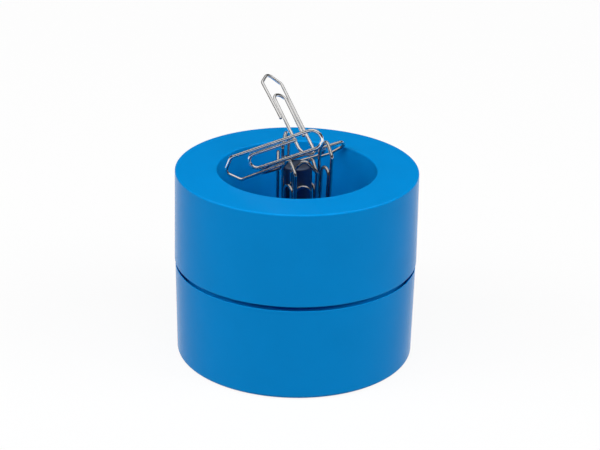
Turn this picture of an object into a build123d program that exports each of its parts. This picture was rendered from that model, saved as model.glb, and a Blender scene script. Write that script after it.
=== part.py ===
"""Magnetic paper clip holder: a two-part moulded drum, a magnetic post in its well and loose wire clips.

Millimetres, +Z up. The origin is on the table under the centre of the drum, and -Y is the front.
"""
import os
from math import cos, radians, sin

from build123d import *

# Drum outline
HEIGHT = 58.5                # table to flat rim
DRUM_R = 36.5                # outer radius at the upper shell's lower edge, the widest place
RIM_DRAFT = 0.25             # how much narrower the upper shell is at the rim
LOWER_STEP = 0.2             # how much narrower the lower shell is beside the groove
FOOT_DRAFT = 0.4             # how much narrower the lower shell is at the foot
GROOVE_Z = 29.5              # middle of the shadow groove between the shells
GROOVE_GAP = 1.0             # height of that groove
WALL = 2.2                   # outer walls of both shells
RIM_ROUND = 0.5              # rounding of the rim's outer edge and of the well's edge
EDGE_ROUND = 0.3             # rounding of the two edges beside the groove
FOOT_ROUND = 1.0             # rounding of the foot's outer edge

# Well and post
WELL_R = 23.75               # well radius at the rim
WELL_DRAFT = 1.0             # how much narrower the well is at its floor
WELL_DEPTH = 32.0            # rim to the well's floor
WELL_WALL = 2.0              # well wall and well floor
WELL_ROUND = 3.0             # rounding where the well wall meets the floor
TOP_WALL = 2.4               # flat rim
POST_WALL = 1.0              # wall of the metal tube around the magnet, at the post's foot
POST_DRAFT = 0.15            # how much slimmer the post is at its top
POST_PROUD = 1.3             # post top above the rim
POST_CAP = 1.2               # closed top of the tube, over the magnet
POST_ROUND = 0.6             # rounding of the post's top edge
RIB_COUNT = 8                # ribs between the well and the outer wall
RIB = 1.6                    # rib thickness
RIB_DEPTH = 14.0             # rib depth below the rim's underside

# Snap joint between the shells
SPIGOT_WALL = 1.8            # ring of the upper shell that plugs into the lower one
SPIGOT_DEPTH = 7.0           # ring depth below the groove
SNAP_R = 0.5                 # radius of the snap bead
SNAP_DEPTH = 4.0             # bead below the lower shell's edge
FIT = 0.1                    # clearance of a pushed-in fit
LEDGE = 1.2                  # ledge that the ring stands on

# Base, magnet and pad
BASE_WALL = 2.4              # floor of the lower shell
PAD_INSET = 4.9              # anti-slip pad's edge inside the foot
PAD_THICK = 1.3              # anti-slip pad thickness
PAD_PROUD = 0.3              # how far the pad stands below the shell
PILLAR_R = 6.0               # pillar under the magnet plug
PILLAR_WALL = 2.0            # pillar wall
MAGNET_R = 3.5               # rod magnet radius
MAGNET_LENGTH = 20.0         # rod magnet length
MAGNET_EDGE = 0.3            # chamfer of the magnet's ends
PLUG_FLANGE = 1.5            # thickness of the plug's flange

# Paper clips, along the centre of their wire
WIRE = 1.0                   # wire diameter
CLIP_WIDTH = 7.5             # across the shoulders
CLIP_SHOULDER = 28.2         # round end to shoulders
CLIP_GABLE = 3.8             # rise of the two sloping sides, to where their lines would meet
CLIP_END_WIDTH = 5.7         # width of the round end
CLIP_TONGUE_WIDTH = 4.4      # width of the inner loop
CLIP_TONGUE_TOP = 23.5       # round end to the top of the inner loop
CLIP_OUTER_TAIL = 13.8       # round end to the free end of the outer leg
CLIP_INNER_TAIL = 7.3        # round end to the free end of the inner leg
CLIP_TAPER = 0.55            # how far the outer leg's free end is bent in
TIP_BEND = 1.6               # bend radius at the pointed tip
SHOULDER_BEND = 1.6          # bend radius at the shoulders
TURN_FLAT = 0.1              # straight run in the middle of each round turn

RIM_R = DRUM_R - RIM_DRAFT
LOWER_EDGE_R = DRUM_R - LOWER_STEP
FOOT_R = LOWER_EDGE_R - FOOT_DRAFT
PAD_R = FOOT_R - PAD_INSET
POST_TOP = HEIGHT + POST_PROUD
WELL_FLOOR_Z = HEIGHT - WELL_DEPTH
UPPER_Z = GROOVE_Z + GROOVE_GAP / 2
LOWER_Z = GROOVE_Z - GROOVE_GAP / 2
MOUTH_R = LOWER_EDGE_R - WALL
SPIGOT_R = MOUTH_R - FIT
LEDGE_Z = LOWER_Z - SPIGOT_DEPTH
BEAD_Z = LOWER_Z - SNAP_DEPTH
CUP_Z = WELL_FLOOR_Z - WELL_WALL
BORE_R = MAGNET_R + FIT
POST_R = BORE_R + POST_WALL
MAGNET_TOP = POST_TOP - POST_CAP
MAGNET_FOOT = MAGNET_TOP - MAGNET_LENGTH
RECESS_Z = PAD_THICK
BASE_Z = RECESS_Z + BASE_WALL


def turned(*points):
    """Solid of revolution about Z from a closed outline of (radius, height) points."""
    outline = Polyline(*[(r, 0, z) for r, z in points], close=True)
    return revolve(make_face(outline), Axis.Z)


def ring_edge(solid, radius, z):
    """The circular edge of a turned solid that has this radius and height."""
    circles = solid.edges().filter_by(GeomType.CIRCLE)
    return circles.sort_by(lambda e: abs(e.radius - radius) + abs(e.arc_center.Z - z))[0]


def snap_bead(radius):
    """Round bead about the spigot, at the snap height."""
    return revolve(Plane.XZ * Pos(SPIGOT_R - SNAP_R / 2, BEAD_Z) * Circle(radius), Axis.Z)


def upper_shell():
    """Outer wall, flat rim, well with a hole for the post, and the ring that plugs into the lower shell."""
    well_foot_r = WELL_R - WELL_DRAFT
    post_hole_r = POST_R + FIT
    under_rim = HEIGHT - TOP_WALL
    spigot_inner_r = SPIGOT_R - SPIGOT_WALL
    shoulder_z = UPPER_Z + WALL
    shell = turned(
        (DRUM_R, UPPER_Z), (RIM_R, HEIGHT), (WELL_R, HEIGHT), (well_foot_r, WELL_FLOOR_Z),
        (post_hole_r, WELL_FLOOR_Z), (post_hole_r, CUP_Z), (well_foot_r + WELL_WALL, CUP_Z),
        (WELL_R + WELL_WALL, under_rim), (RIM_R - WALL, under_rim),
        (DRUM_R - WALL, shoulder_z + SPIGOT_WALL), (spigot_inner_r, shoulder_z),
        (spigot_inner_r, LEDGE_Z), (SPIGOT_R, LEDGE_Z), (SPIGOT_R, UPPER_Z),
    )
    shell = fillet(ring_edge(shell, well_foot_r, WELL_FLOOR_Z), WELL_ROUND)
    shell = fillet([ring_edge(shell, RIM_R, HEIGHT), ring_edge(shell, WELL_R, HEIGHT)], RIM_ROUND)
    shell = fillet(ring_edge(shell, DRUM_R, UPPER_Z), EDGE_ROUND)
    rib_in = WELL_R + WELL_WALL / 2
    rib_out = RIM_R - WALL / 2
    rib = Pos((rib_in + rib_out) / 2, 0, under_rim - RIB_DEPTH / 2) * Box(rib_out - rib_in, RIB, RIB_DEPTH)
    for turn in range(RIB_COUNT):
        shell += Rot(0, 0, 360 / RIB_COUNT * turn) * rib
    return shell + snap_bead(SNAP_R)


def lower_shell():
    """Base cup with the mouth and ledge for the ring, a recess for the pad and a pillar under the plug."""
    pad_recess_r = PAD_R + FIT
    pillar_top = CUP_Z - PLUG_FLANGE
    pillar_bore = PILLAR_R - PILLAR_WALL
    shell = turned(
        (0, RECESS_Z), (pad_recess_r, RECESS_Z), (pad_recess_r, PAD_PROUD), (FOOT_R, PAD_PROUD),
        (LOWER_EDGE_R, LOWER_Z), (MOUTH_R, LOWER_Z), (MOUTH_R, LEDGE_Z), (MOUTH_R - LEDGE, LEDGE_Z),
        (FOOT_R - WALL - LEDGE, BASE_Z), (PILLAR_R, BASE_Z), (PILLAR_R, pillar_top),
        (pillar_bore, pillar_top), (pillar_bore, BASE_Z), (0, BASE_Z),
    )
    shell = fillet(ring_edge(shell, FOOT_R, PAD_PROUD), FOOT_ROUND)
    shell = fillet(ring_edge(shell, LOWER_EDGE_R, LOWER_Z), EDGE_ROUND)
    return shell - snap_bead(SNAP_R + FIT)


def post_tube():
    """Drawn metal tube, closed at its top, pushed through the well's floor to stand on the plug's flange."""
    top_r = POST_R - POST_DRAFT
    tube = turned(
        (POST_R, CUP_Z), (top_r, POST_TOP), (0, POST_TOP), (0, MAGNET_TOP), (BORE_R, MAGNET_TOP), (BORE_R, CUP_Z),
    )
    return fillet(ring_edge(tube, top_r, POST_TOP), POST_ROUND)


def rod_magnet():
    """Plain rod with chamfered ends, up against the closed top of the tube."""
    rod = Pos(0, 0, MAGNET_TOP - MAGNET_LENGTH / 2) * Cylinder(MAGNET_R, MAGNET_LENGTH)
    return chamfer(rod.edges().filter_by(GeomType.CIRCLE), MAGNET_EDGE)


def magnet_plug():
    """Stem that fills the tube under the magnet, on a flange held between well floor and pillar."""
    return turned(
        (0, CUP_Z - PLUG_FLANGE), (PILLAR_R, CUP_Z - PLUG_FLANGE), (PILLAR_R, CUP_Z),
        (MAGNET_R, CUP_Z), (MAGNET_R, MAGNET_FOOT), (0, MAGNET_FOOT),
    )


def foot_pad():
    """Soft disc in the recess of the base, which the drum stands on."""
    pad = Pos(0, 0, PAD_THICK / 2) * Cylinder(PAD_R, PAD_THICK)
    return fillet(ring_edge(pad, PAD_R, 0), PAD_PROUD)


def paper_clip():
    """Pointed clip of one bent wire, upright on its round end, broad side to the front, about the origin."""
    end_bend = (CLIP_END_WIDTH - TURN_FLAT) / 2
    tongue_bend = (CLIP_TONGUE_WIDTH - TURN_FLAT) / 2
    tongue_side = CLIP_END_WIDTH - CLIP_TONGUE_WIDTH
    bends = [
        (CLIP_WIDTH - CLIP_TAPER, CLIP_OUTER_TAIL), (CLIP_WIDTH, CLIP_SHOULDER),
        (CLIP_WIDTH / 2, CLIP_SHOULDER + CLIP_GABLE), (0, CLIP_SHOULDER), (0, 0), (CLIP_END_WIDTH, 0),
        (CLIP_END_WIDTH, CLIP_TONGUE_TOP), (tongue_side, CLIP_TONGUE_TOP), (tongue_side, CLIP_INNER_TAIL),
    ]
    radii = [SHOULDER_BEND, TIP_BEND, SHOULDER_BEND, end_bend, end_bend, tongue_bend, tongue_bend]
    path = FilletPolyline(*[(x, 0, z) for x, z in bends], radius=radii)
    wire = sweep(Plane(path @ 0, z_dir=path % 0) * Circle(WIRE / 2), path)
    return Pos(-wire.bounding_box().center()) * wire


def around(bearing, away, slip):
    """Point this far from the drum's axis on a bearing (0 is front, 90 right), then slipped sideways."""
    turn = radians(bearing)
    return away * sin(turn) + slip * cos(turn), slip * sin(turn) - away * cos(turn)


def standing(bearing, stand_off, slip, rise, lean=0, datum=POST_TOP):
    """Place of an upright clip that faces away from the post on this bearing.

    Stand_off is the gap between post and wire, rise the height of the clip's middle above the datum,
    and lean tips it to the right.
    """
    x, y = around(bearing, POST_R + stand_off + WIRE / 2, slip)
    return Pos(x, y, datum + rise) * Rot(0, lean, bearing)


def across(bearing, inset, slip, rise, roll):
    """Place of a level clip that points at the well's edge on this bearing, its middle inset from the edge."""
    x, y = around(bearing, WELL_R - inset, slip)
    return Pos(x, y, POST_TOP + rise) * Rot(-90, 180 - bearing, roll)


def lying(x, y, rise, tip, lean, spin):
    """Place of a clip that lies on others: its middle above the post's top, then its turns about X, Y and Z."""
    return Pos(x, y, POST_TOP + rise) * Rot(tip, lean, spin)


CLIP_PLACES = {
    "clip_front": standing(bearing=0, stand_off=0.2, slip=2.1, rise=-12.9),
    "clip_front_left": standing(bearing=-60, stand_off=0.25, slip=4.65, rise=-12.1),
    "clip_right": standing(bearing=115, stand_off=0.4, slip=1.5, rise=-15.4),
    "clip_outer_right": standing(bearing=118, stand_off=2.2, slip=-3.3, rise=-8.8, lean=2),
    "clip_back": standing(bearing=-103, stand_off=1.05, slip=-10.7, rise=-10.2),
    "clip_back_left": standing(bearing=-90, stand_off=0.7, slip=-10.8, rise=17.4, datum=WELL_FLOOR_Z),
    "clip_crosswise": across(bearing=130.6, inset=17.08, slip=4.65, rise=-0.6, roll=-46),
    "clip_angled": lying(x=-6.8, y=-6.4, rise=5.0, tip=25.3, lean=-117.1, spin=207.9),
    "clip_leaning": lying(x=-3.3, y=13.54, rise=10.74, tip=-55.2, lean=-22.8, spin=-147.3),
}

os.makedirs("parts", exist_ok=True)
pieces = {
    "upper_shell": upper_shell(),
    "lower_shell": lower_shell(),
    "post_tube": post_tube(),
    "rod_magnet": rod_magnet(),
    "magnet_plug": magnet_plug(),
    "foot_pad": foot_pad(),
}
clip = paper_clip()
for name, place in CLIP_PLACES.items():
    pieces[name] = place * clip
for name, piece in pieces.items():
    export_step(piece, f"parts/{name}.step")
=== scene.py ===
"""Looks of the magnetic paper clip holder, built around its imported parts: metres, +Z up, -Y to the front."""
from math import cos, radians, sin

import bpy
import numpy as np
from mathutils import Matrix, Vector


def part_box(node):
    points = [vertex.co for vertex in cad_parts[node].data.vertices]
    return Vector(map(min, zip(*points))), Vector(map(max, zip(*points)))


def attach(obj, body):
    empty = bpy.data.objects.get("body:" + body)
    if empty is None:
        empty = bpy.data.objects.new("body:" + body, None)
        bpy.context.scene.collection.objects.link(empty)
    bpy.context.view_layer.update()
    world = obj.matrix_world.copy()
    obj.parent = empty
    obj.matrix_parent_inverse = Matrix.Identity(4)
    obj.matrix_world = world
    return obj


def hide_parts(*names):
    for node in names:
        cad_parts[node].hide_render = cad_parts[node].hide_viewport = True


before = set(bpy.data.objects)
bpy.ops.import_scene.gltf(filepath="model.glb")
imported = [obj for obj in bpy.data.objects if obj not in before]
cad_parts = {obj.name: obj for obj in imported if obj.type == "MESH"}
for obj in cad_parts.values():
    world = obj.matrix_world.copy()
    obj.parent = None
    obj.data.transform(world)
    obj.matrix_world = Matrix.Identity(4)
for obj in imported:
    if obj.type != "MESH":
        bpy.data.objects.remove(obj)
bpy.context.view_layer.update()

# Upper shell
# The drum's top half, moulded in one piece of blue plastic: outer wall, flat rim and round well, with a hole
# in the well's floor for the post. The ring below it snaps into the lower shell.
upper_low, upper_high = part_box("upper_shell")
lower_low, lower_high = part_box("lower_shell")
DRAFT_RIM = 0.00025
WELL_R = 0.02375
WELL_FOOT_R = 0.02275
WELL_DEPTH = 0.032
WELL_WALL = 0.002
WALL = 0.0022
RIM_WALL = 0.0024
POST_HOLE_R = 0.0047
GROOVE = 0.001
RING_R = 0.034
RING_WALL = 0.0018
BEAD = 0.00025
BEAD_HALF = 0.00043
BEAD_DROP = 0.004
RIM_ROUND = 0.0005
FLOOR_ROUND = 0.003
GROOVE_ROUND = 0.0003
INNER_ROUND = 0.0003
TURNED_SIDES = 240
SHARP_TURN = radians(40)
SAME_POINT = 1e-9
NOISE_SWING = (0.3, 0.7)
BLUE = (0.001, 0.284, 0.745)
CLOUDS_PER_METRE = 70
CLOUD_TONE = (0.975, 1.02)
CLOUD_DEPTH = 0.00006
GRAINS_PER_METRE = 5200
GRAIN_ROUGHNESS = (0.17, 0.25)
GRAIN_DEPTH = 0.000008
WORN_PALER = 0.06
WORN_SMOOTHER = 0.08
PLASTIC_SPECULAR = 0.05


def rounded_line(corners, steps=10, run=0.0025, margin=0.00012):
    """A line through corners of (across, along, radius), each corner made an arc tangent to both its runs.

    An arc of radius q where the line turns by w starts q * tan(w / 2) before the corner. Runs are divided
    into steps of at most run, with one more point margin from each end, which keeps the shading of flats
    even. Returns the points, and a weight of 1 on left-hand arcs, which are a solid's outer edges, else 0.
    """
    place = np.array([corner[:2] for corner in corners])
    radius = [corner[2] for corner in corners]
    heading = np.diff(place, axis=0)
    heading /= np.linalg.norm(heading, axis=1, keepdims=True)
    points, edge = [], []
    start = place[0]
    for i, into in enumerate(heading):
        last = i == len(heading) - 1
        out = into if last else heading[i + 1]
        left = into[0] * out[1] - into[1] * out[0]
        turn = np.arctan2(abs(left), into @ out)
        stop = place[i + 1] - into * radius[i + 1] * np.tan(turn / 2)
        length = np.linalg.norm(stop - start)
        even = np.linspace(0, 1, int(np.ceil(length / run)) + 1)
        near_end = margin / max(length, margin)
        share = np.unique(np.append(even, [near_end, 1 - near_end]))
        points.append(start + share[:, None] * (stop - start))
        edge.append(np.zeros(len(share)))
        start = stop
        if radius[i + 1] > 0 and not last:
            inward = np.array([-into[1], into[0]]) * np.sign(left)
            swing = np.linspace(0, turn, steps + 1)[1:-1, None]
            points.append(stop + radius[i + 1] * (np.sin(swing) * into + (1 - np.cos(swing)) * inward))
            edge.append(np.full(steps - 1, float(left > 0)))
            start = place[i + 1] + out * radius[i + 1] * np.tan(turn / 2)
    points = np.concatenate(points)
    apart = np.append(True, np.linalg.norm(np.diff(points, axis=0), axis=1) > SAME_POINT)
    return points[apart], np.concatenate(edge)[apart]


def skin(name, vertices, faces, traits):
    """A smooth mesh object of vertices and faces, sharp only at steep edges, with point traits by name."""
    mesh = bpy.data.meshes.new(name)
    mesh.from_pydata(vertices.tolist(), [], [face for group in faces for face in group.tolist()])
    mesh.shade_smooth()
    mesh.set_sharp_from_angle(angle=SHARP_TURN)
    for trait, values in traits.items():
        kind, field = ("FLOAT", "value") if values.ndim == 1 else ("FLOAT_VECTOR", "vector")
        mesh.attributes.new(trait, kind, "POINT").data.foreach_set(field, values.ravel())
    piece = bpy.data.objects.new(name, mesh)
    bpy.context.scene.collection.objects.link(piece)
    return piece


def ring_faces(rings, sides):
    """Faces over this many rings of vertices, numbered ring by ring.

    Returns the quads from each ring to the next, those from the last ring to the first at the end, and the
    fan of triangles that closes each end. The fans meet in two vertices that are numbered after the rings.
    """
    here = np.arange(rings * sides).reshape(rings, sides)
    beside = np.roll(here, -1, axis=1)
    walls = np.stack([here, beside, np.roll(beside, -1, axis=0), np.roll(here, -1, axis=0)], axis=-1)
    first_fan = np.stack([np.full(sides, here.size), beside[0], here[0]], axis=-1)
    last_fan = np.stack([here[-1], beside[-1], np.full(sides, here.size + 1)], axis=-1)
    return walls.reshape(-1, 4), first_fan, last_fan


def turned(name, corners):
    """Closed skin of a line of (radius, height) corners carried round Z.

    The point at angle a is (r cos a, r sin a, z). A line from axis to axis is closed by a fan at each end,
    and a line that ends where it starts closes on itself.
    """
    line, edge = rounded_line(corners)
    solid = line[0, 0] == 0
    inner = slice(1 if solid else 0, -1)
    angle = np.linspace(0, 2 * np.pi, TURNED_SIDES, endpoint=False)
    r, z = line[inner, 0, None], line[inner, 1, None]
    rings = np.stack([r * np.cos(angle), r * np.sin(angle), z + 0 * angle], axis=-1).reshape(-1, 3)
    wear = np.repeat(edge[inner], TURNED_SIDES)
    walls, first_fan, last_fan = ring_faces(len(r), TURNED_SIDES)
    if not solid:
        return skin(name, rings, [walls], {"wear": wear})
    poles = np.array([[0, 0, line[0, 1]], [0, 0, line[-1, 1]]])
    return skin(name, np.concatenate([rings, poles]), [walls[:-TURNED_SIDES], first_fan, last_fan],
                {"wear": np.append(wear, [0, 0])})


def new_finish(name):
    """A material with its node adder, its linker and its surface shader."""
    material = bpy.data.materials.new(name)
    material.use_nodes = True
    tree = material.node_tree
    return material, tree.nodes.new, tree.links.new, tree.nodes["Principled BSDF"]


def skin_trait(add, name):
    """The outputs of a point trait that the skin carries."""
    trait = add("ShaderNodeAttribute")
    trait.attribute_name = name
    return trait.outputs


def cloud(add, join, place, scale, detail=3.0):
    """Noise of this many lumps per metre about a place."""
    lumps = add("ShaderNodeTexNoise")
    lumps.inputs["Scale"].default_value = scale
    lumps.inputs["Detail"].default_value = detail
    join(place, lumps.inputs["Vector"])
    return lumps.outputs["Fac"]


def between(add, join, noise, lowest, highest):
    """Noise spread from its usual swing over lowest to highest."""
    spread = add("ShaderNodeMapRange")
    for socket, number in zip(("From Min", "From Max", "To Min", "To Max"), (*NOISE_SWING, lowest, highest)):
        spread.inputs[socket].default_value = number
    join(noise, spread.inputs["Value"])
    return spread.outputs["Result"]


def combined(add, join, operation, first, second):
    """Two values joined by an arithmetic operation."""
    maths = add("ShaderNodeMath")
    maths.operation = operation
    for socket, value in zip(maths.inputs, (first, second)):
        if isinstance(value, (int, float)):
            socket.default_value = value
        else:
            join(value, socket)
    return maths.outputs["Value"]


def toned(add, join, surface, colour, tone):
    """The surface's colour, made darker or paler by a tone of about 1."""
    tint = add("ShaderNodeHueSaturation")
    tint.inputs["Color"].default_value = (*colour, 1)
    join(tone, tint.inputs["Value"])
    join(tint.outputs["Color"], surface.inputs["Base Color"])


def bumps(add, join, surface, layers):
    """Relief on a surface: layers of (height field, depth in metres, strength), each on top of the last."""
    below = None
    for height, depth, strength in layers:
        relief = add("ShaderNodeBump")
        relief.inputs["Distance"].default_value = depth
        relief.inputs["Strength"].default_value = strength
        join(height, relief.inputs["Height"])
        if below:
            join(below, relief.inputs["Normal"])
        below = relief.outputs["Normal"]
    join(below, surface.inputs["Normal"])


def moulded_plastic(name, colour):
    """Satin moulded plastic: faint clouds in the pigment, a spark-eroded grain, and edges rubbed smooth."""
    material, add, join, surface = new_finish(name)
    place = add("ShaderNodeTexCoord").outputs["Object"]
    worn = skin_trait(add, "wear")["Fac"]
    grain = cloud(add, join, place, GRAINS_PER_METRE)
    sweep = cloud(add, join, place, CLOUDS_PER_METRE)
    paler = combined(add, join, "MULTIPLY", worn, WORN_PALER)
    tone = combined(add, join, "ADD", between(add, join, sweep, *CLOUD_TONE), paler)
    toned(add, join, surface, colour, tone)
    satin = between(add, join, grain, *GRAIN_ROUGHNESS)
    smoother = combined(add, join, "MULTIPLY", worn, WORN_SMOOTHER)
    join(combined(add, join, "SUBTRACT", satin, smoother), surface.inputs["Roughness"])
    bumps(add, join, surface, [(sweep, CLOUD_DEPTH, 0.25), (grain, GRAIN_DEPTH, 0.5)])
    surface.inputs["Specular IOR Level"].default_value = PLASTIC_SPECULAR
    return material


drum_r = upper_high.x
groove_top = lower_high.z + GROOVE
rim_z = upper_high.z
under_rim = rim_z - RIM_WALL
well_floor = rim_z - WELL_DEPTH
cup_z = well_floor - WELL_WALL
ring_in = RING_R - RING_WALL
bead_z = lower_high.z - BEAD_DROP
floor_middle = (POST_HOLE_R + WELL_FOOT_R) / 2
upper_shell = turned("upper_drum", [
    (floor_middle, cup_z, 0),
    (WELL_FOOT_R + WELL_WALL, cup_z, INNER_ROUND),
    (WELL_R + WELL_WALL, under_rim, INNER_ROUND),
    (drum_r - DRAFT_RIM - WALL, under_rim, INNER_ROUND),
    (drum_r - WALL, groove_top + WALL + RING_WALL, INNER_ROUND),
    (ring_in, groove_top + WALL, INNER_ROUND),
    (ring_in, upper_low.z, INNER_ROUND),
    (RING_R, upper_low.z, INNER_ROUND),
    (RING_R, bead_z - BEAD_HALF, 0),
    (RING_R + BEAD, bead_z, INNER_ROUND),
    (RING_R, bead_z + BEAD_HALF, 0),
    (RING_R, groove_top, 0),
    (drum_r, groove_top, GROOVE_ROUND),
    (drum_r - DRAFT_RIM, rim_z, RIM_ROUND),
    (WELL_R, rim_z, RIM_ROUND),
    (WELL_FOOT_R, well_floor, FLOOR_ROUND),
    (POST_HOLE_R, well_floor, INNER_ROUND),
    (POST_HOLE_R, cup_z, INNER_ROUND),
    (floor_middle, cup_z, 0),
])
blue_plastic = moulded_plastic("blue_plastic", BLUE)
upper_shell.data.materials.append(blue_plastic)
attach(upper_shell, "holder")
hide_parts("upper_shell")

# Lower shell
# The drum's bottom half in the same blue plastic: a cup with a bevelled mouth that the upper shell's ring
# snaps into, a ledge for the ring, a hollow pillar under the magnet plug and a recess below for the pad.
STEP_IN = 0.0002
FOOT_DRAFT = 0.0004
FOOT_ROUND = 0.001
LEAD_IN = 0.0032
LIP_ROUND = 0.00012
LEDGE = 0.0012
BASE_WALL = 0.0024
PILLAR_R = 0.006
PILLAR_BORE = 0.004
PLUG_FLANGE = 0.0015
RECESS_R = 0.0311
pad_low, pad_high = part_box("foot_pad")
lower_edge_r = drum_r - STEP_IN
foot_r = lower_edge_r - FOOT_DRAFT
mouth_r = lower_edge_r - WALL
base_z = pad_high.z + BASE_WALL
pillar_z = cup_z - PLUG_FLANGE
lower_shell = turned("lower_drum", [
    (0, pad_high.z, 0),
    (RECESS_R, pad_high.z, INNER_ROUND),
    (RECESS_R, lower_low.z, INNER_ROUND),
    (foot_r, lower_low.z, FOOT_ROUND),
    (lower_edge_r, lower_high.z, LIP_ROUND),
    (mouth_r, lower_high.z - LEAD_IN, INNER_ROUND),
    (mouth_r, bead_z + BEAD_HALF, 0),
    (mouth_r + BEAD, bead_z, INNER_ROUND),
    (mouth_r, bead_z - BEAD_HALF, 0),
    (mouth_r, upper_low.z, INNER_ROUND),
    (mouth_r - LEDGE, upper_low.z, INNER_ROUND),
    (foot_r - WALL - LEDGE, base_z, INNER_ROUND),
    (PILLAR_R, base_z, INNER_ROUND),
    (PILLAR_R, pillar_z, INNER_ROUND),
    (PILLAR_BORE, pillar_z, INNER_ROUND),
    (PILLAR_BORE, base_z, INNER_ROUND),
    (0, base_z, 0),
])
lower_shell.data.materials.append(blue_plastic)
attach(lower_shell, "holder")
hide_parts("lower_shell")

# Foot pad
# A disc of black foam rubber pressed into the recess of the base, a little proud of it so that the drum
# stands on the pad and does not slide.
PAD_FOOT_ROUND = 0.0003
PAD_TOP_ROUND = 0.0001
RUBBER = (0.02, 0.02, 0.022)
PATCHES_PER_METRE = 160
PATCH_TONE = (0.7, 1.6)
PORES_PER_METRE = 2600
PORE_ROUGHNESS = (0.75, 0.95)
PORE_DEPTH = 0.00015


def foam_rubber(name, colour):
    """Dull rubber with fine pores and a few greyer patches."""
    material, add, join, surface = new_finish(name)
    place = add("ShaderNodeTexCoord").outputs["Object"]
    pores = cloud(add, join, place, PORES_PER_METRE, detail=4)
    patches = cloud(add, join, place, PATCHES_PER_METRE)
    toned(add, join, surface, colour, between(add, join, patches, *PATCH_TONE))
    join(between(add, join, pores, *PORE_ROUGHNESS), surface.inputs["Roughness"])
    bumps(add, join, surface, [(pores, PORE_DEPTH, 0.8)])
    return material


foot_pad = turned("foot_disc", [
    (0, pad_low.z, 0),
    (pad_high.x, pad_low.z, PAD_FOOT_ROUND),
    (pad_high.x, pad_high.z, PAD_TOP_ROUND),
    (0, pad_high.z, 0),
])
foot_pad.data.materials.append(foam_rubber("pad_rubber", RUBBER))
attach(foot_pad, "holder")
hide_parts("foot_pad")

# Post, magnet and plug
# The post is a drawn steel tube with a closed top, plated with dark nickel and pushed through the well's
# floor; its colour carries a blue tint, a painted reflection of the blue well. A nickel-plated rod magnet
# fills its top, and a black moulded plug on a flange holds the magnet up.
POST_FOOT_R = 0.0046
POST_TOP_R = 0.00445
POST_ROUND = 0.0006
BORE_R = 0.0036
# Dark plating with a blue tint: the blue is a painted reflection of the blue well.
DARK_NICKEL_PAINTED_BLUE = (0.14, 0.18, 0.28)
DARK_ROUGHNESS = 0.42
NICKEL = (0.56, 0.54, 0.50)
NICKEL_ROUGHNESS = 0.2
PLUG_BLACK = (0.012, 0.012, 0.014)
MISTS_PER_METRE = 700
MIST_DULLER = 0.15
PITS_PER_METRE = 9000
PIT_DEPTH = 0.00001


def plated_metal(name, colour, roughness):
    """Plating with a faint cloudiness and fine pits."""
    material, add, join, surface = new_finish(name)
    place = add("ShaderNodeTexCoord").outputs["Object"]
    mist = cloud(add, join, place, MISTS_PER_METRE)
    surface.inputs["Base Color"].default_value = (*colour, 1)
    surface.inputs["Metallic"].default_value = 1
    join(between(add, join, mist, roughness, roughness + MIST_DULLER), surface.inputs["Roughness"])
    bumps(add, join, surface, [(cloud(add, join, place, PITS_PER_METRE), PIT_DEPTH, 0.3)])
    return material


post_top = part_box("post_tube")[1].z
magnet_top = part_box("rod_magnet")[1].z
post = turned("drawn_post", [
    (0, magnet_top, 0),
    (BORE_R, magnet_top, INNER_ROUND),
    (BORE_R, cup_z, INNER_ROUND),
    (POST_FOOT_R, cup_z, INNER_ROUND),
    (POST_TOP_R, post_top, POST_ROUND),
    (0, post_top, 0),
])
post.data.materials.append(plated_metal("post_metal", DARK_NICKEL_PAINTED_BLUE, DARK_ROUGHNESS))
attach(post, "holder")
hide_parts("post_tube")
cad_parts["rod_magnet"].data.materials[0] = plated_metal("magnet_nickel", NICKEL, NICKEL_ROUGHNESS)
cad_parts["magnet_plug"].data.materials[0] = moulded_plastic("plug_plastic", PLUG_BLACK)

# Paper clips
# Pointed clips, each bent from one length of zinc-plated steel wire: an outer loop with a gable at one end
# and a round turn at the other, and a tongue inside it. The post's magnet holds the upright ones, and others
# lie on them. The clips down in the well and the crosswise one get a darker copy of the plating, which is
# painted shade; the two on top keep the plating's full colour.
WIRE = 0.001
CLIP_WIDTH = 0.0075
SHOULDER = 0.0282
GABLE = 0.0038
END_WIDTH = 0.0057
TONGUE_WIDTH = 0.0044
TONGUE_TOP = 0.0235
OUTER_TAIL = 0.0138
INNER_TAIL = 0.0073
TAPER = 0.00055
TIP_BEND = 0.0016
SHOULDER_BEND = 0.0016
CUT_ROUND = 0.00012
WIRE_SIDES = 20
ZINC_PLATING = (0.92, 0.91, 0.90)
# A darker copy of the plating: painted shade for the clips down in the well.
SHADED_ZINC = (0.66, 0.64, 0.62)
IN_FULL_LIGHT = ("angled", "leaning")
BLOOMS_PER_METRE = 420
BLOOM_TONE = (0.9, 1.06)
LENGTH_STRETCH = 60
STREAK_SCALE = 2.6
STREAK_ROUGHNESS = (0.13, 0.22)
STREAK_DEPTH = 0.000012
CUT_DARKER = 0.45
CUT_DULLER = 0.25


def zinc_wire(name, colour):
    """Drawn wire under a thin plating: fine streaks along the wire and duller, darker sheared ends."""
    material, add, join, surface = new_finish(name)
    cut = skin_trait(add, "cut")["Fac"]
    streak = cloud(add, join, skin_trait(add, "drawn")["Vector"], STREAK_SCALE, detail=4)
    bloom = cloud(add, join, add("ShaderNodeTexCoord").outputs["Object"], BLOOMS_PER_METRE)
    darker = combined(add, join, "MULTIPLY", cut, CUT_DARKER)
    tone = combined(add, join, "SUBTRACT", between(add, join, bloom, *BLOOM_TONE), darker)
    toned(add, join, surface, colour, tone)
    surface.inputs["Metallic"].default_value = 1
    polish = between(add, join, streak, *STREAK_ROUGHNESS)
    duller = combined(add, join, "MULTIPLY", cut, CUT_DULLER)
    join(combined(add, join, "ADD", polish, duller), surface.inputs["Roughness"])
    bumps(add, join, surface, [(streak, STREAK_DEPTH, 0.4)])
    return material


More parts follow.
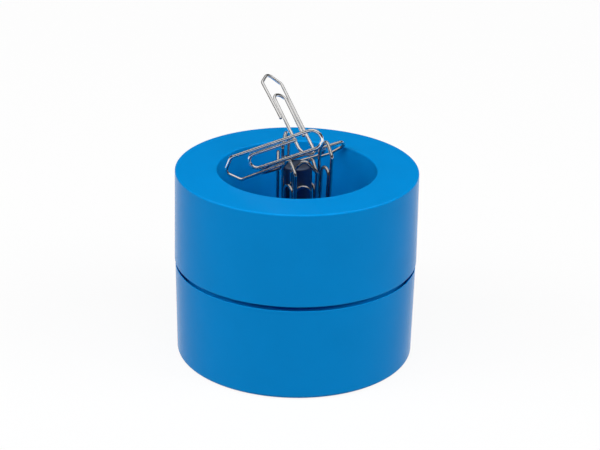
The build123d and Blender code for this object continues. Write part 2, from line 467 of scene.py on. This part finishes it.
def bent_wire():
    """The clip's skin before it is placed: vertices about its middle, faces and traits.

    A circle of the wire's radius q is carried along the bends, which lie in the XZ plane. The ring at a
    point p is p + q cos u * the side of the tangent + q sin u * Y. At both cut ends q shrinks over a round.
    """
    tongue_side = END_WIDTH - TONGUE_WIDTH
    line, _ = rounded_line([
        (CLIP_WIDTH - TAPER, OUTER_TAIL, 0),
        (CLIP_WIDTH, SHOULDER, SHOULDER_BEND),
        (CLIP_WIDTH / 2, SHOULDER + GABLE, TIP_BEND),
        (0, SHOULDER, SHOULDER_BEND),
        (0, 0, END_WIDTH / 2),
        (END_WIDTH, 0, END_WIDTH / 2),
        (END_WIDTH, TONGUE_TOP, TONGUE_WIDTH / 2),
        (tongue_side, TONGUE_TOP, TONGUE_WIDTH / 2),
        (tongue_side, INNER_TAIL, 0),
    ], steps=16, run=0.0015, margin=CUT_ROUND)
    tangent = np.gradient(line, axis=0)
    tangent /= np.linalg.norm(tangent, axis=1, keepdims=True)
    side = np.stack([tangent[:, 1], -tangent[:, 0]], axis=-1)
    around = np.linspace(0, 2 * np.pi, WIRE_SIDES, endpoint=False)
    q = np.full(len(line), WIRE / 2)
    q[[0, -1]] -= CUT_ROUND
    flat = line[:, None] + (q[:, None] * np.cos(around))[..., None] * side[:, None]
    rings = np.stack([flat[..., 0], q[:, None] * np.sin(around), flat[..., 1]], axis=-1).reshape(-1, 3)
    ends = np.array([[line[0, 0], 0, line[0, 1]], [line[-1, 0], 0, line[-1, 1]]])
    walls, first_fan, last_fan = ring_faces(len(line), WIRE_SIDES)
    steps = np.linalg.norm(np.diff(line, axis=0), axis=1)
    along = LENGTH_STRETCH * np.append(0, np.cumsum(steps))
    turn = np.tile(around, len(line))
    drawn = np.stack([np.cos(turn), np.sin(turn), np.repeat(along, WIRE_SIDES)], axis=-1)
    cut = np.zeros(len(line))
    cut[[0, -1]] = 1
    traits = {
        "drawn": np.concatenate([drawn, [[0, 0, 0], [0, 0, along[-1]]]]),
        "cut": np.append(np.repeat(cut, WIRE_SIDES), [1, 1]),
    }
    vertices = np.concatenate([rings, ends])
    vertices -= (vertices.max(axis=0) + vertices.min(axis=0)) / 2
    return vertices, [walls[:-WIRE_SIDES], first_fan, last_fan], traits


def beside_axis(bearing, away, slip):
    """Point this far from the drum's axis on a bearing (0 is front, 90 right), then slipped sideways."""
    turn = radians(bearing)
    return away * sin(turn) + slip * cos(turn), slip * sin(turn) - away * cos(turn)


def turns(tip, lean, spin):
    """The turn about X of the turn about Y of the turn about Z, in degrees."""
    axes = zip((tip, lean, spin), "XYZ")
    about_x, about_y, about_z = (Matrix.Rotation(radians(angle), 3, axis) for angle, axis in axes)
    return np.array(about_x @ about_y @ about_z)


def standing(bearing, stand_off, slip, middle, lean=0):
    """Place of an upright clip that faces away from the post on this bearing."""
    x, y = beside_axis(bearing, POST_FOOT_R + stand_off + WIRE / 2, slip)
    return (x, y, middle), turns(0, lean, bearing)


def across(bearing, inset, slip, middle, roll):
    """Place of a level clip that points at the well's edge on this bearing."""
    x, y = beside_axis(bearing, WELL_R - inset, slip)
    return (x, y, middle), turns(-90, 180 - bearing, roll)


CLIP_PLACES = {
    "front": standing(0, 0.0002, 0.0021, post_top - 0.0129),
    "front_left": standing(-60, 0.00025, 0.00465, post_top - 0.0121),
    "right": standing(115, 0.0004, 0.0015, post_top - 0.0154),
    "outer_right": standing(118, 0.0022, -0.0033, post_top - 0.0088, lean=2),
    "back": standing(-103, 0.00105, -0.0107, post_top - 0.0102),
    "back_left": standing(-90, 0.0007, -0.0108, well_floor + 0.0174),
    "crosswise": across(130.6, 0.01708, 0.00465, post_top - 0.0006, roll=-46),
    "angled": ((-0.0068, -0.0064, post_top + 0.005), turns(25.3, -117.1, 207.9)),
    "leaning": ((-0.0033, 0.01354, post_top + 0.01074), turns(-55.2, -22.8, -147.3)),
}
bright_wire = zinc_wire("bright_wire", ZINC_PLATING)
painted_shade_wire = zinc_wire("painted_shade_wire", SHADED_ZINC)
clip_vertices, clip_faces, clip_traits = bent_wire()
for body, (middle, turned_to) in CLIP_PLACES.items():
    clip = skin("wire_" + body, clip_vertices @ turned_to.T + middle, clip_faces, clip_traits)
    # The clips in the well take the darker copy, painted shade; the two on top take the plating's full colour.
    clip.data.materials.append(bright_wire if body in IN_FULL_LIGHT else painted_shade_wire)
    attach(clip, body)
    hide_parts("clip_" + body)

# Table
# A wide pale sheet under the drum, white to the eye and to the metal, that keeps the drum's soft shadow.
TABLE_HALF = 6.0
SHEET_WHITE = (1.0, 1.0, 1.0, 1)
SHEET_BOUNCE = (0.25, 0.25, 0.25, 1)
GLOW = 0.9


def seen_directly(add, join):
    """1 for light that the camera sees straight, in a mirror or through glass, and 0 for other light."""
    path = add("ShaderNodeLightPath").outputs
    seen = combined(add, join, "MAXIMUM", path["Is Camera Ray"], path["Is Glossy Ray"])
    return combined(add, join, "MAXIMUM", seen, path["Is Transmission Ray"])


table_corners = TABLE_HALF * np.array([(-1, -1, 0), (1, -1, 0), (1, 1, 0), (-1, 1, 0)])
table = skin("table", table_corners, [np.array([(0, 1, 2, 3)])], {})
sheet, add, join, default_surface = new_finish("sheet")
sheet.node_tree.nodes.remove(default_surface)
bounce = add("ShaderNodeBsdfDiffuse")
bounce.inputs["Color"].default_value = SHEET_BOUNCE
paper = add("ShaderNodeBsdfDiffuse")
paper.inputs["Color"].default_value = SHEET_WHITE
white = add("ShaderNodeMixShader")
white.inputs["Fac"].default_value = GLOW
join(paper.outputs["BSDF"], white.inputs[1])
join(add("ShaderNodeEmission").outputs["Emission"], white.inputs[2])
shown = add("ShaderNodeMixShader")
join(seen_directly(add, join), shown.inputs["Fac"])
join(bounce.outputs["BSDF"], shown.inputs[1])
join(white.outputs["Shader"], shown.inputs[2])
join(shown.outputs["Shader"], sheet.node_tree.nodes["Material Output"].inputs["Surface"])
table.data.materials.append(sheet)

# Studio light
# A white room with soft lamps in front of the drum, at both sides and low behind it. The metal doesn't show
# the lamps: it shows the white table, the white room above, and between them a ring of dark curtain.
ROOM_LIGHT = 0.15
LAMPS = {
    "softbox": ((-0.06, -1.35, 1.8), (6.0, 1.6), 64.0),
    "left_lamp": ((-2.3, -0.6, 1.5), (1.5, 1.5), 28.0),
    "right_lamp": ((2.3, -0.6, 1.5), (1.5, 1.5), 28.0),
    "back_lamp": ((0.0, 2.8, 0.2), (3.0, 0.3), 20.0),
}
CURTAIN_R = 3.2
CURTAIN_TOP = 2.7
CURTAIN_SIDES = 64
CURTAIN_GREY = (0.05, 0.05, 0.05, 1)
room = bpy.data.worlds.new("room")
bpy.context.scene.world = room
room.use_nodes = True
room.node_tree.nodes.clear()
add, join = room.node_tree.nodes.new, room.node_tree.links.new
lighting = add("ShaderNodeBackground")
lighting.inputs["Strength"].default_value = ROOM_LIGHT
backdrop = add("ShaderNodeBackground")
choice = add("ShaderNodeMixShader")
join(seen_directly(add, join), choice.inputs["Fac"])
join(lighting.outputs["Background"], choice.inputs[1])
join(backdrop.outputs["Background"], choice.inputs[2])
join(choice.outputs["Shader"], add("ShaderNodeOutputWorld").inputs["Surface"])
for name, (place, (width, depth), power) in LAMPS.items():
    lamp = bpy.data.lights.new(name, "AREA")
    lamp.shape = "RECTANGLE"
    lamp.size = width
    lamp.size_y = depth
    lamp.energy = power
    lamp_object = bpy.data.objects.new(name, lamp)
    lamp_object.location = place
    lamp_object.rotation_euler = (-lamp_object.location).to_track_quat("-Z", "Y").to_euler()
    lamp_object.visible_glossy = False
    bpy.context.scene.collection.objects.link(lamp_object)

angle = np.linspace(0, 2 * np.pi, CURTAIN_SIDES, endpoint=False)
hem = np.stack([CURTAIN_R * np.cos(angle), CURTAIN_R * np.sin(angle), 0 * angle], axis=-1)
here = np.arange(CURTAIN_SIDES)
beside = np.roll(here, -1)
folds = np.stack([here, here + CURTAIN_SIDES, beside + CURTAIN_SIDES, beside], axis=-1)
curtain = skin("curtain", np.concatenate([hem, hem + [0, 0, CURTAIN_TOP]]), [folds], {})
dark_cloth, _, _, cloth_surface = new_finish("dark_cloth")
cloth_surface.inputs["Base Color"].default_value = CURTAIN_GREY
cloth_surface.inputs["Roughness"].default_value = 1
curtain.data.materials.append(dark_cloth)
curtain.visible_camera = False

# Camera
# A long lens a little above the drum, turned about its own axis and shifted as the photograph is framed.
FOCAL_PIXELS = 1881.67
FRAME_PIXELS = 600
SENSOR_MM = 36
AIM_HEIGHT = 0.030
AIM_DISTANCE = 0.56964
CAMERA_ELEVATION = radians(23.754)
CAMERA_ROLL = radians(1.037)
AIM_RIGHT_PIXELS = 4.457
AIM_UP_PIXELS = 31.325
camera = bpy.data.cameras.new("camera")
camera.sensor_width = SENSOR_MM
camera.lens = FOCAL_PIXELS / FRAME_PIXELS * SENSOR_MM
camera.shift_x = AIM_RIGHT_PIXELS / FRAME_PIXELS
camera.shift_y = AIM_UP_PIXELS / FRAME_PIXELS
camera_object = bpy.data.objects.new("camera", camera)
camera_place = Matrix.Translation((0, -AIM_DISTANCE * cos(CAMERA_ELEVATION),
                                   AIM_HEIGHT + AIM_DISTANCE * sin(CAMERA_ELEVATION)))
level_turn = Matrix.Rotation(radians(90) - CAMERA_ELEVATION, 4, "X")
camera_object.matrix_world = camera_place @ level_turn @ Matrix.Rotation(CAMERA_ROLL, 4, "Z")
bpy.context.scene.collection.objects.link(camera_object)
bpy.context.scene.camera = camera_object
bpy.context.scene.view_settings.view_transform = "Standard"
